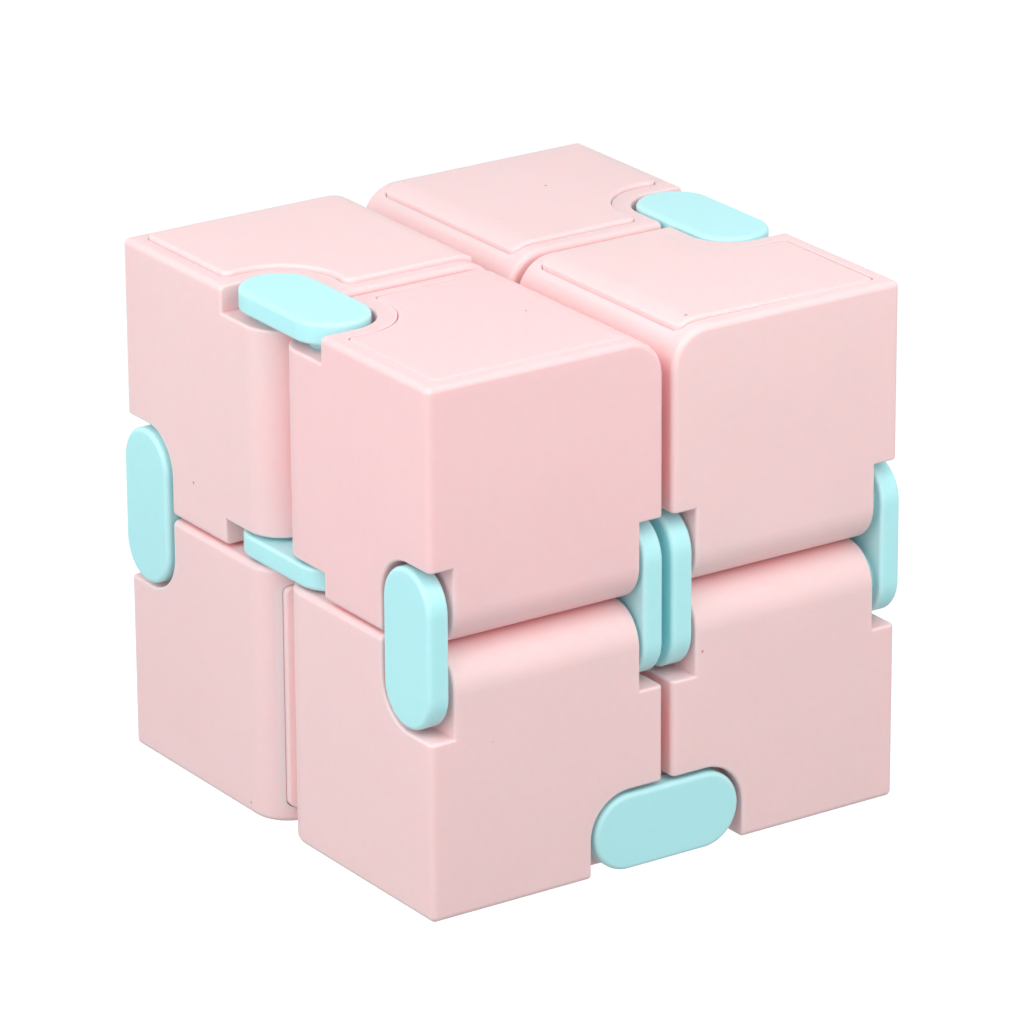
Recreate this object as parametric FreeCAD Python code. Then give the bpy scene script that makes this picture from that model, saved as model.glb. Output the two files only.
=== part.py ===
"""Folding fidget cube: eight hollow cubelets hinged in one ring.

Sizes are in millimetres. X points right, Y points to the back and Z points up.
The origin is the centre of the closed cube's underside.

A cubelet is modelled once, about its own centre, with its lid on the +Z face and its
three rounded edges at (+X, -Y), (+Y, -Z) and (-X, +Z). Upper cubelets keep that attitude,
lower ones are turned so that the lid faces the back or the front, and the octants of the
cube are mirror images of one another.
"""
import FreeCAD, Part
import math
import os

Vector = FreeCAD.Vector

# Cubelets
CUBELET = 19.6
SIDE_GAP = 0.8
LEVEL_GAP = 0.3
HINGE_RADIUS = 2.9
EDGE_RADIUS = 0.45
WALL = 2.05
HALF = CUBELET / 2

# Pockets that take the ends of the link plates
POCKET_DEPTH = 2.0
POCKET_RADIUS = 3.25
POCKET_RIM_RADIUS = 0.2
POCKET_WALL = 1.3
NECK = 1.6
BORE_RADIUS = 1.55
CHAMBER_RADIUS = 2.05
CHAMBER_LENGTH = 2.4

# Lids
LID_INSET = 1.25
LID_NOTCH_RADIUS = 4.75
LID_THICKNESS = 1.5
LID_CORNER_RADIUS = 0.6
LID_RIM_RADIUS = 0.2
LID_FIT = 0.05
LID_LEDGE = 0.9
LEDGE_NOTCH_RADIUS = LID_NOTCH_RADIUS + LID_LEDGE
LIP_THICKNESS = 0.9
LIP_DEPTH = 1.6

# Link plates and their pins
PLATE_THICKNESS = 1.7
PLATE_TOP_RADIUS = 0.35
PLATE_UNDER_RADIUS = 0.25
BOSS_RADIUS = 2.0
BOSS_HEIGHT = 0.25
PIN_RADIUS = 1.5
SHOULDER_DEPTH = 2.5
HEAD_RADIUS = 1.75
HEAD_BAND = 0.35
TIP_RADIUS = 1.2
TIP_LENGTH = 1.05
SLOT_WIDTH = 0.7
SLOT_START = 0.9
LOOSE_PIN_GAP = 0.02

# How far each lid stands out of its cubelet, and how far one lid is tipped
LID_PROUD = {
    "front_left_upper": 0.03,
    "front_right_upper": 0.0,
    "back_left_upper": 0.38,
    "back_right_upper": 0.30,
    "front_left_lower": 0.20,
    "front_right_lower": 0.20,
    "back_left_lower": 0.40,
    "back_right_lower": 0.40,
}
TIPPED_LID = "front_right_upper"
TIP_RISE = 0.35

# How far a plate stands out past flush, taken up by its pins' end play
PLATE_LIFT = {
    "left_upper_link_top": 0.45,
    "right_upper_link_top": 0.15,
    "front_right_link_outer": 0.35,
    "back_left_link_outer": 0.35,
    "front_left_link_outer": 0.10,
    "back_right_link_outer": 0.10,
}

# The ring is opened at this link's front pins, which stay with the front left cubelet
OPENED_LINK = "left_upper_link"

CENTRE_XY = SIDE_GAP / 2 + HALF
MID_LEVEL = CUBELET + LEVEL_GAP / 2
CENTRE_Z = LEVEL_GAP / 2 + HALF
PIN_XY = SIDE_GAP / 2 + HINGE_RADIUS
PIN_Z = LEVEL_GAP / 2 + HINGE_RADIUS
OUTER_PIN = SIDE_GAP / 2 + CUBELET - HINGE_RADIUS
OUTER_FACE = SIDE_GAP / 2 + CUBELET
INNER_FACE = SIDE_GAP / 2
TOP_FACE = 2 * CUBELET + LEVEL_GAP
PAST = 1.0
TOUCH = 0.01
NEAR_MIDDLE = 1.0

X, Y, Z = Vector(1, 0, 0), Vector(0, 1, 0), Vector(0, 0, 1)


def cylinder(radius, low, high, x=0.0, y=0.0):
    """Cylinder along Z from low to high."""
    return Part.makeCylinder(radius, high - low, Vector(x, y, low), Z)


def box(x_span, y_span, z_span):
    """Box from three (low, high) pairs."""
    size = [high - low for low, high in (x_span, y_span, z_span)]
    return Part.makeBox(*size, Vector(x_span[0], y_span[0], z_span[0]))


def seat(origin, x_dir, y_dir):
    """Placement that carries the local X, Y and Z to x_dir, y_dir and their cross product."""
    rotation = FreeCAD.Rotation(x_dir, y_dir, x_dir.cross(y_dir), "ZXY")
    return FreeCAD.Placement(origin, rotation)


def placed(shape, placement):
    """Copy of a shape with its geometry moved."""
    return shape.transformed(placement.toMatrix(), True)


def pocket_seats():
    """Pocket floors of a cubelet: the pin's point, with local X and Y towards the open sides."""
    pin = HALF - HINGE_RADIUS
    floor = HALF - POCKET_DEPTH
    return {
        "lid": seat(Vector(pin, -pin, floor), -Y, X),
        "under": seat(Vector(pin, -pin, -floor), X, -Y),
        "outer": seat(Vector(floor, pin, -pin), -Z, Y),
        "inner": seat(Vector(-floor, pin, -pin), Y, -Z),
    }


def is_sharp(edge):
    """True for a cube edge, or the arc where a rounding runs out, but not a rounding's own seam."""
    bounds = edge.BoundBox
    spans = ((bounds.XMin, bounds.XMax), (bounds.YMin, bounds.YMax), (bounds.ZMin, bounds.ZMax))
    on_faces = [abs(high - low) < EDGE_RADIUS and abs(abs(low) - HALF) < EDGE_RADIUS
                for low, high in spans]
    return sum(on_faces) == 2 or isinstance(edge.Curve, Part.Circle)


def is_hinge_edge(edge):
    """True for the three edges that the hinges turn around."""
    x, y, z = edge.CenterOfMass
    near = [abs(place) < NEAR_MIDDLE for place in (x, y, z)]
    return (x > 0 > y and near[2]) or (y > 0 > z and near[0]) or (z > 0 > x and near[1])


def outer_block():
    """Cube with three rounded hinge edges and softened other edges."""
    span = (-HALF, HALF)
    block = box(span, span, span)
    block = block.makeFillet(HINGE_RADIUS, [edge for edge in block.Edges if is_hinge_edge(edge)])
    return block.makeFillet(EDGE_RADIUS, [edge for edge in block.Edges if is_sharp(edge)])


def notched_prism(inset, notch_radius, low, high):
    """Square prism inset from the cubelet's sides, notched around the pin on the lid face."""
    span = (inset - HALF, HALF - inset)
    pin = HALF - HINGE_RADIUS
    return box(span, span, (low, high)).cut(cylinder(notch_radius, low, high, pin, -pin))


def lid_prism(grow, low, high):
    """Outline of the lid with rounded corners, grown by a clearance."""
    prism = notched_prism(LID_INSET - grow, LID_NOTCH_RADIUS - grow, low, high)
    upright = [edge for edge in prism.Edges if edge.BoundBox.ZLength > (high - low) / 2]
    return prism.makeFillet(LID_CORNER_RADIUS, upright)


def square_pocket():
    """Pocket with one round inner corner, open on its local +X and +Y sides."""
    top = POCKET_DEPTH + PAST
    reach = HINGE_RADIUS + PAST
    round_end = cylinder(POCKET_RADIUS, 0, top)
    along_x = box((0, reach), (-POCKET_RADIUS, reach), (0, top))
    along_y = box((-POCKET_RADIUS, reach), (0, reach), (0, top))
    return round_end.fuse([along_x, along_y]).removeSplitter()


def pin_hole():
    """Bore through the pocket floor and the wider chamber that the pin's head opens into."""
    bore = cylinder(BORE_RADIUS, -NECK - PAST, PAST)
    chamber = cylinder(CHAMBER_RADIUS, -NECK - CHAMBER_LENGTH, -NECK)
    return bore.fuse(chamber)


def cavity():
    """Hollow of a cubelet, with material left around the four pockets."""
    span = (WALL - HALF, HALF - WALL)
    hollow = box(span, span, (WALL - HALF, HALF - LID_THICKNESS))
    for name, placement in pocket_seats().items():
        radius = LEDGE_NOTCH_RADIUS if name == "lid" else POCKET_RADIUS + POCKET_WALL
        collar = cylinder(radius, -NECK, POCKET_DEPTH + PAST)
        hollow = hollow.cut(placed(collar, placement))
    return hollow


def lies_on(edge, surface):
    """True if the middle of an edge is on a surface."""
    middle = edge.valueAt((edge.FirstParameter + edge.LastParameter) / 2)
    return Part.Vertex(middle).distToShape(surface)[0] < TOUCH


def pocketed_block():
    """Outer form with its four pockets, their rims softened."""
    plain = outer_block()
    block = plain
    rims = []
    for placement in pocket_seats().values():
        pocket = placed(square_pocket(), placement)
        block = block.cut(pocket)
        rims.append(pocket.Shells[0])
    edges = [edge for edge in block.Edges if lies_on(edge, plain.Shells[0])
             and any(lies_on(edge, rim) for rim in rims)]
    return block.makeFillet(POCKET_RIM_RADIUS, edges)


def cubelet_shell():
    """Open-topped cubelet with pockets, pin holes and a rebate for its lid."""
    shell = pocketed_block().cut(cavity())
    shell = shell.cut(lid_prism(LID_FIT, HALF - LID_THICKNESS, HALF + PAST))
    for placement in pocket_seats().values():
        shell = shell.cut(placed(pin_hole(), placement))
    return shell.removeSplitter()


def lid_lip():
    """Rim under the lid that plugs into the cubelet's opening."""
    low = HALF - LID_THICKNESS - LIP_DEPTH
    high = HALF - LID_THICKNESS
    outside = notched_prism(WALL + LID_FIT, LEDGE_NOTCH_RADIUS + LID_FIT, low, high)
    thick = LID_FIT + LIP_THICKNESS
    inside = notched_prism(WALL + thick, LEDGE_NOTCH_RADIUS + thick, low - PAST, high)
    return outside.cut(inside)


def cubelet_lid(name):
    """Lid that follows the cubelet's outer form, standing out or tipped by its own amount."""
    surface = outer_block()
    if name == TIPPED_LID:
        tip = FreeCAD.Rotation(Y, math.degrees(TIP_RISE / (CUBELET - 2 * LID_INSET)))
        flush_side = Vector(HALF - LID_INSET, 0, HALF)
        surface = placed(surface, FreeCAD.Placement(Vector(0, 0, 0), tip, flush_side))
    surface.translate(Vector(0, 0, LID_PROUD[name]))
    plate = lid_prism(0, HALF - LID_THICKNESS, HALF + PAST).common(surface)
    rim = [edge for edge in plate.Edges if edge.BoundBox.ZMin > HALF - LID_THICKNESS + LID_RIM_RADIUS]
    return plate.makeFillet(LID_RIM_RADIUS, rim).fuse(lid_lip()).removeSplitter()


def pin(start):
    """Split snap pin along -Z: boss, shank, head and slot, starting at a given level."""
    head_end = -SHOULDER_DEPTH - HEAD_BAND
    boss = cylinder(BOSS_RADIUS, -BOSS_HEIGHT, start)
    shank = cylinder(PIN_RADIUS, -SHOULDER_DEPTH, start)
    band = cylinder(HEAD_RADIUS, head_end, -SHOULDER_DEPTH)
    tip = Part.makeCone(HEAD_RADIUS, TIP_RADIUS, TIP_LENGTH, Vector(0, 0, head_end), -Z)
    slot_span = (-SLOT_WIDTH / 2, SLOT_WIDTH / 2)
    slot_length = (head_end - TIP_LENGTH - PAST, -SLOT_START)
    slot = box((-BOSS_RADIUS, BOSS_RADIUS), slot_span, slot_length)
    return boss.fuse([shank, band, tip]).cut(slot)


def link_plate(spacing, pin_sides):
    """Stadium plate over two pin centres on X, with pins on the sides asked for."""
    radius = HINGE_RADIUS
    reach = spacing / 2
    middle = box((-reach, reach), (-radius, radius), (0, PLATE_THICKNESS))
    ends = [cylinder(radius, 0, PLATE_THICKNESS, side * reach) for side in (-1, 1)]
    plate = middle.fuse(ends).removeSplitter()
    top = [edge for edge in plate.Edges if edge.BoundBox.ZMin > PLATE_THICKNESS / 2]
    plate = plate.makeFillet(PLATE_TOP_RADIUS, top)
    under = [edge for edge in plate.Edges if edge.BoundBox.ZMax < PLATE_UNDER_RADIUS]
    plate = plate.makeFillet(PLATE_UNDER_RADIUS, under)
    for side in pin_sides:
        shape = pin(PLATE_THICKNESS / 2)
        shape.translate(Vector(side * reach, 0, 0))
        plate = plate.fuse(shape)
    return plate.removeSplitter()


def loose_pins(spacing):
    """The pins of an opened pivot, a hair below the plate that they belong to."""
    shape = pin(-LOOSE_PIN_GAP)
    shape.translate(Vector(-spacing / 2, 0, 0))
    return shape


def cube_octants():
    """Cubelet names with the sides of the cube that they lie on."""
    for depth, y_side in (("front", -1), ("back", 1)):
        for side, x_side in (("left", -1), ("right", 1)):
            for level, z_side in (("upper", 1), ("lower", -1)):
                yield f"{depth}_{side}_{level}", x_side, y_side, z_side


def in_octant(shape, x_side, y_side, z_side):
    """Turn the piece if it belongs to a lower cubelet, then carry it to its octant."""
    if z_side < 0:
        half_turn = FreeCAD.Rotation(Y - Z, 180)
        shape = placed(shape, FreeCAD.Placement(Vector(0, 0, 0), half_turn))
    shape.translate(Vector(CENTRE_XY, CENTRE_XY, CENTRE_Z))
    for direction, side in ((X, x_side), (Y, y_side), (Z, z_side)):
        if side < 0:
            shape = shape.mirror(Vector(0, 0, 0), direction)
    shape.translate(Vector(0, 0, MID_LEVEL))
    return shape


def upright_plates():
    """Outward direction and face distance of the two plates on an upright hinge."""
    return {"top": (Z, TOP_FACE), "bottom": (-Z, -CUBELET - LEVEL_GAP)}


def level_plates(outward):
    """The same for a level hinge, whose plates lie on an outside and an inside face."""
    return {"outer": (outward, OUTER_FACE), "inner": (-outward, -INNER_FACE)}


def links():
    """Each link's point on its hinge, the direction between its pins and its plates."""
    return {
        "left_upper_link": (Vector(-OUTER_PIN, 0, 0), Y, upright_plates()),
        "right_upper_link": (Vector(OUTER_PIN, 0, 0), Y, upright_plates()),
        "front_left_link": (Vector(0, -OUTER_PIN, MID_LEVEL), Z, level_plates(-X)),
        "front_right_link": (Vector(0, -OUTER_PIN, MID_LEVEL), Z, level_plates(X)),
        "back_left_link": (Vector(0, OUTER_PIN, MID_LEVEL), Z, level_plates(-X)),
        "back_right_link": (Vector(0, OUTER_PIN, MID_LEVEL), Z, level_plates(X)),
        "front_base_link": (Vector(0, 0, HINGE_RADIUS), X, level_plates(-Y)),
        "back_base_link": (Vector(0, 0, HINGE_RADIUS), X, level_plates(Y)),
    }


def plate_seat(name, point, along, outward, face):
    """Placement of a plate's underside, which its lift moves outwards."""
    underside = face + PLATE_LIFT.get(name, 0.0) - PLATE_THICKNESS
    return seat(point + outward * underside, along, outward.cross(along))


def export(name, shape):
    """Write one piece to its STEP file."""
    shape.exportStep(os.path.join("parts", name + ".step"))


def export_cubelets():
    """Write the eight shells and their eight lids."""
    for name, *octant in cube_octants():
        export("cubelet_" + name, in_octant(cubelet_shell(), *octant))
        export("lid_" + name, in_octant(cubelet_lid(name), *octant))


def export_links():
    """Write the sixteen link plates and the pins of the opened pivot."""
    opened = []
    for link, (point, along, plates) in links().items():
        spacing = 2 * (PIN_Z if along == Z else PIN_XY)
        for side, (outward, face) in plates.items():
            name = f"{link}_{side}"
            place = plate_seat(name, point, along, outward, face)
            sides = (1,) if link == OPENED_LINK else (-1, 1)
            export(name, placed(link_plate(spacing, sides), place))
            if link == OPENED_LINK:
                opened.append(placed(loose_pins(spacing), place))
    export(OPENED_LINK + "_front_pins", Part.makeCompound(opened))


os.makedirs("parts", exist_ok=True)
export_cubelets()
export_links()
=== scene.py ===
"""Looks for the folding fidget cube: moulded plastics, studio light, floor and camera.

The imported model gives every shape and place. Lengths are in metres.
"""
import math

import bpy
from mathutils import Matrix, Vector


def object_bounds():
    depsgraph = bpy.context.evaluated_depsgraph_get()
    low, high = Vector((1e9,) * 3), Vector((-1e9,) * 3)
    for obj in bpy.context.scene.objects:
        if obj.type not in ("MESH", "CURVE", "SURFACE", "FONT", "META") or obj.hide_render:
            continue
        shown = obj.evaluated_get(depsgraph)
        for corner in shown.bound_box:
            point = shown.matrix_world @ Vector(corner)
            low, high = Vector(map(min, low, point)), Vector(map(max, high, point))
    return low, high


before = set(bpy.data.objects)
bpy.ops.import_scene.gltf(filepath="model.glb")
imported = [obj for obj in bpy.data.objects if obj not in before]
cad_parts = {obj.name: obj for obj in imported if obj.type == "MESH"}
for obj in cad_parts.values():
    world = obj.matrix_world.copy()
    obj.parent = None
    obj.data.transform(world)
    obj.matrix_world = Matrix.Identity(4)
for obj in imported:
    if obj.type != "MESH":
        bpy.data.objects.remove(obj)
cad_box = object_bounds()

MM = 0.001
LOW, HIGH = cad_box
HEIGHT = HIGH.z - LOW.z
CENTRE = (LOW + HIGH) / 2
SIZE = (HIGH - LOW).length

# Camera: turn from +X, drop below the horizon and roll in degrees
VIEW_TURN = 56.086
VIEW_DROP = 20.747
VIEW_ROLL = -0.362
VIEW_DISTANCE = 0.4774
VIEW_SHIFT_RIGHT = 0.24 * MM
VIEW_SHIFT_UP = 0.18 * MM
LENS = 231.8
SENSOR = 36.0
CLIP_START = SIZE / 10
CLIP_END = SIZE * 100

# Colours, linear
PINK = (0.95, 0.642, 0.645)
PINK_FRONT = (0.96, 0.605, 0.615)
PINK_BLEED = (1.0, 0.22, 0.18)
MINT = (0.480, 0.850, 0.880)
MINT_BLEED = (0.55, 1.0, 1.0)
SPECK = (0.42, 0.16, 0.13)
FLOOR_WHITE = (0.95, 0.95, 0.95)
WHITE = (1.0, 1.0, 1.0)

# Finishes: colour, relative reach of each channel inside, roughness, scatter and painted edge
# highlight
FINISHES = {
    "pink_plastic": (PINK, PINK_BLEED, 0.40, 0.40, 0.11),
    "pink_plastic_deep": (PINK_FRONT, PINK_BLEED, 0.40, 0.40, 0.11),
    "mint_plastic": (MINT, MINT_BLEED, 0.32, 0.25, 0.22),
}

# Plastic: noise scales are per metre, and ranges are what the noise is mapped to
PLASTIC_IOR = 1.49
SCATTER_REACH = 1.4 * MM
NOISE_SPAN = (0.3, 0.7)
MOTTLE_SCALE, MOTTLE_DETAIL = 110, 2
MOTTLE_RANGE = (0.988, 1.008)
GRAIN_SCALE, GRAIN_DETAIL = 1400, 4
GRAIN_RANGE = (0.990, 1.008)
SKIN_SCALE, SKIN_DETAIL = 3200, 2
SKIN_STRENGTH = 0.06
SKIN_HEIGHT = 0.02 * MM
GLOSS_LESS, GLOSS_MORE = 0.04, 0.05
# Painted edge highlight: samples, reach and span of its mask
HIGHLIGHT_EDGE_SAMPLES = 6
HIGHLIGHT_EDGE_REACH = 0.5 * MM
HIGHLIGHT_EDGE_SPAN = (0.95, 0.45)
SPECK_CELLS = 190
SPECK_SPAN = (0.014, 0.030)
SPECK_STRENGTH = 0.9

# A Mix node's colour sockets go by index, because their names repeat
MIX_FACTOR, MIX_FIRST, MIX_SECOND = 0, 6, 7
MIX_RESULT = 2

# Floor: below the lowest fold, and it glows a little, like a light table
FLOOR_CLEARANCE = 2 * MM
FLOOR_LEVEL = LOW.z - HEIGHT - FLOOR_CLEARANCE
FLOOR_WIDTH = SIZE * 60
FLOOR_ROUGHNESS = 0.9
FLOOR_GLOW = 0.36

# Tent: brightness level, straight up and from a little below level down to the ground
HORIZON = 1.0
ZENITH = 0.50
NADIR = 0.45
NADIR_FROM = -0.3
TENT_TINT = (0.965, 1.012, 1.015)
BOUNCES = 12

# Softboxes: direction from the cube, distance, width, power and colour
SOFTBOXES = {
    "left_box": ((-1.0, -0.15, 0.75), 0.18, 0.15, 0.171, (0.955, 1.01, 1.03)),
    "front_box": ((0.15, -1.0, 0.95), 0.14, 0.12, 0.080, (0.97, 1.0, 1.0)),
}


def node(tree, kind, **sockets):
    """Add a shader node and set its input sockets by name."""
    made = tree.nodes.new(kind)
    for name, value in sockets.items():
        made.inputs[name].default_value = value
    return made


def link(tree, source, output, target, socket):
    """Join two shader nodes."""
    tree.links.new(source.outputs[output], target.inputs[socket])


def value_noise(tree, coordinates, scale, detail):
    """Noise texture in the part's own coordinates."""
    noise = node(tree, "ShaderNodeTexNoise", Scale=scale, Detail=detail)
    link(tree, coordinates, "Object", noise, "Vector")
    return noise


def mapped(tree, source, output, low, high, to_low, to_high):
    """Map one range of a value to another."""
    ramp = tree.nodes.new("ShaderNodeMapRange")
    for socket, value in zip(ramp.inputs[1:5], (low, high, to_low, to_high)):
        socket.default_value = value
    link(tree, source, output, ramp, "Value")
    return ramp


def blended(tree, mode, factor, first, second):
    """Mix two colours; each may be a colour or a (node, output) pair, and so may the factor."""
    mix = tree.nodes.new("ShaderNodeMix")
    mix.data_type = "RGBA"
    mix.blend_type = mode
    for index, value in ((MIX_FACTOR, factor), (MIX_FIRST, first), (MIX_SECOND, second)):
        if isinstance(value, tuple) and isinstance(value[0], bpy.types.Node):
            link(tree, *value, mix, index)
        elif index == MIX_FACTOR:
            mix.inputs[index].default_value = value
        else:
            mix.inputs[index].default_value = (*value, 1.0)
    return mix


def painted_highlight_mask(tree, reach):
    """Mask of the painted edge highlight: 1 on an outward edge and 0 on a flat face or in a
    corner.
    """
    occlusion = tree.nodes.new("ShaderNodeAmbientOcclusion")
    occlusion.samples = HIGHLIGHT_EDGE_SAMPLES
    occlusion.inside = True
    occlusion.only_local = True
    occlusion.inputs["Distance"].default_value = reach
    return mapped(tree, occlusion, "AO", *HIGHLIGHT_EDGE_SPAN, 0.0, 1.0)


def plastic_colour(tree, place, fine, colour, painted_edge_highlight):
    """Colour with soft mottling, grain, a painted highlight along each outward edge and rare
    specks.
    """
    broad = value_noise(tree, place, MOTTLE_SCALE, MOTTLE_DETAIL)
    tone = mapped(tree, broad, "Fac", *NOISE_SPAN, *MOTTLE_RANGE)
    grain = mapped(tree, fine, "Fac", *NOISE_SPAN, *GRAIN_RANGE)
    tinted = blended(tree, "MULTIPLY", 1.0, colour, (tone, "Result"))
    grained = blended(tree, "MULTIPLY", 1.0, (tinted, MIX_RESULT), (grain, "Result"))

    # Painted highlight: the colour turns paler along each outward edge, standing in for light
    # caught by the rim
    pale = tuple(1.0 - (1.0 - channel) * (1.0 - painted_edge_highlight) for channel in colour)
    highlight_weight = painted_highlight_mask(tree, HIGHLIGHT_EDGE_REACH)
    highlighted = blended(tree, "MIX", (highlight_weight, "Result"), (grained, MIX_RESULT), pale)

    cells = node(tree, "ShaderNodeTexVoronoi", Scale=SPECK_CELLS)
    link(tree, place, "Object", cells, "Vector")
    speck = mapped(tree, cells, "Distance", *SPECK_SPAN, SPECK_STRENGTH, 0.0)
    return blended(tree, "MIX", (speck, "Result"), (highlighted, MIX_RESULT), SPECK)


def moulded_plastic(name, colour, bleed, roughness, scatter, painted_edge_highlight):
    """Injection-moulded plastic with light that scatters inside, a fine skin, uneven gloss and a
    painted edge highlight.
    """
    material = bpy.data.materials.new(name)
    material.use_nodes = True
    tree = material.node_tree
    shader = tree.nodes["Principled BSDF"]
    shader.inputs["IOR"].default_value = PLASTIC_IOR
    shader.inputs["Subsurface Weight"].default_value = scatter
    shader.inputs["Subsurface Radius"].default_value = bleed
    shader.inputs["Subsurface Scale"].default_value = SCATTER_REACH
    place = tree.nodes.new("ShaderNodeTexCoord")

    fine = value_noise(tree, place, GRAIN_SCALE, GRAIN_DETAIL)
    surface = plastic_colour(tree, place, fine, colour, painted_edge_highlight)
    link(tree, surface, MIX_RESULT, shader, "Base Color")

    gloss_range = (roughness - GLOSS_LESS, roughness + GLOSS_MORE)
    gloss = mapped(tree, fine, "Fac", *NOISE_SPAN, *gloss_range)
    link(tree, gloss, "Result", shader, "Roughness")

    skin = value_noise(tree, place, SKIN_SCALE, SKIN_DETAIL)
    bump = node(tree, "ShaderNodeBump", Strength=SKIN_STRENGTH, Distance=SKIN_HEIGHT)
    link(tree, skin, "Fac", bump, "Height")
    link(tree, bump, "Normal", shader, "Normal")
    return material


def dress(name, material):
    """Give a material to a CAD node."""
    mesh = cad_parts[name].data
    mesh.materials.clear()
    mesh.materials.append(material)
    for polygon in mesh.polygons:
        polygon.material_index = 0


def dress_all():
    """Pink cubelets and lids, with the front upper cubelet a shade deeper, and mint links."""
    made = {name: moulded_plastic(name, *finish) for name, finish in FINISHES.items()}
    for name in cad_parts:
        if "_link_" in name:
            dress(name, made["mint_plastic"])
        elif name.endswith("front_left_upper"):
            dress(name, made["pink_plastic_deep"])
        else:
            dress(name, made["pink_plastic"])


def make_floor():
    """Large pale floor, clear of the folded cube, which hangs below its resting level.

    Bounced light and gloss don't see it, so the cube is lit by the tent and the softboxes.
    """
    bpy.ops.mesh.primitive_plane_add(size=FLOOR_WIDTH, location=(0, 0, FLOOR_LEVEL))
    floor = bpy.context.object
    floor.name = "floor"
    floor.visible_diffuse = False
    floor.visible_glossy = False
    material = bpy.data.materials.new("floor_paper")
    material.use_nodes = True
    shader = material.node_tree.nodes["Principled BSDF"]
    shader.inputs["Base Color"].default_value = (*FLOOR_WHITE, 1.0)
    shader.inputs["Roughness"].default_value = FLOOR_ROUGHNESS
    shader.inputs["Emission Color"].default_value = (*WHITE, 1.0)
    shader.inputs["Emission Strength"].default_value = FLOOR_GLOW
    floor.data.materials.append(material)


def softbox(name, direction, distance, width, power, colour):
    """Square area light that faces the middle of the cube."""
    data = bpy.data.lights.new(name, "AREA")
    data.shape = "SQUARE"
    data.size = width
    data.energy = power
    data.color = colour
    lamp = bpy.data.objects.new(name, data)
    aim = Vector(direction).normalized()
    lamp.location = CENTRE + aim * distance
    lamp.rotation_mode = "QUATERNION"
    lamp.rotation_quaternion = (-aim).to_track_quat("-Z", "Y")
    bpy.context.scene.collection.objects.link(lamp)


def light_studio():
    """White tent, brightest at the horizon, with one soft light on each side of the camera."""
    world = bpy.data.worlds.new("studio")
    bpy.context.scene.world = world
    world.use_nodes = True
    tree = world.node_tree
    place = tree.nodes.new("ShaderNodeTexCoord")
    axes = tree.nodes.new("ShaderNodeSeparateXYZ")
    link(tree, place, "Generated", axes, "Vector")
    above = mapped(tree, axes, "Z", 0.0, 1.0, HORIZON, ZENITH)
    below = mapped(tree, axes, "Z", NADIR_FROM, 0.0, NADIR, HORIZON)
    tent = tree.nodes.new("ShaderNodeMath")
    tent.operation = "MINIMUM"
    link(tree, above, "Result", tent, 0)
    link(tree, below, "Result", tent, 1)
    link(tree, tent, "Value", tree.nodes["Background"], "Strength")
    tree.nodes["Background"].inputs["Color"].default_value = (*TENT_TINT, 1.0)
    for name, settings in SOFTBOXES.items():
        softbox(name, *settings)


def place_camera():
    """Long lens, a little above the cube and off its front left corner."""
    turn, drop, roll = (math.radians(angle) for angle in (VIEW_TURN, VIEW_DROP, VIEW_ROLL))
    level_part = math.cos(drop)
    forward = Vector((level_part * math.cos(turn), level_part * math.sin(turn), -math.sin(drop)))
    level = forward.cross(Vector((0, 0, 1))).normalized()
    upright = level.cross(forward)
    right = level * math.cos(roll) + upright * math.sin(roll)
    up = upright * math.cos(roll) - level * math.sin(roll)
    data = bpy.data.cameras.new("camera")
    data.sensor_width = SENSOR
    data.lens = LENS
    data.clip_start = CLIP_START
    data.clip_end = CLIP_END
    camera = bpy.data.objects.new("camera", data)
    axes = Matrix((right, up, -forward)).transposed()
    shift = right * VIEW_SHIFT_RIGHT + up * VIEW_SHIFT_UP
    place = CENTRE - forward * VIEW_DISTANCE + shift
    camera.matrix_world = Matrix.Translation(place) @ axes.to_4x4()
    bpy.context.scene.collection.objects.link(camera)
    bpy.context.scene.camera = camera


bpy.context.scene.view_settings.view_transform = "Standard"
bpy.context.scene.cycles.diffuse_bounces = BOUNCES
bpy.context.scene.cycles.max_bounces = BOUNCES
dress_all()
make_floor()
light_studio()
place_camera()
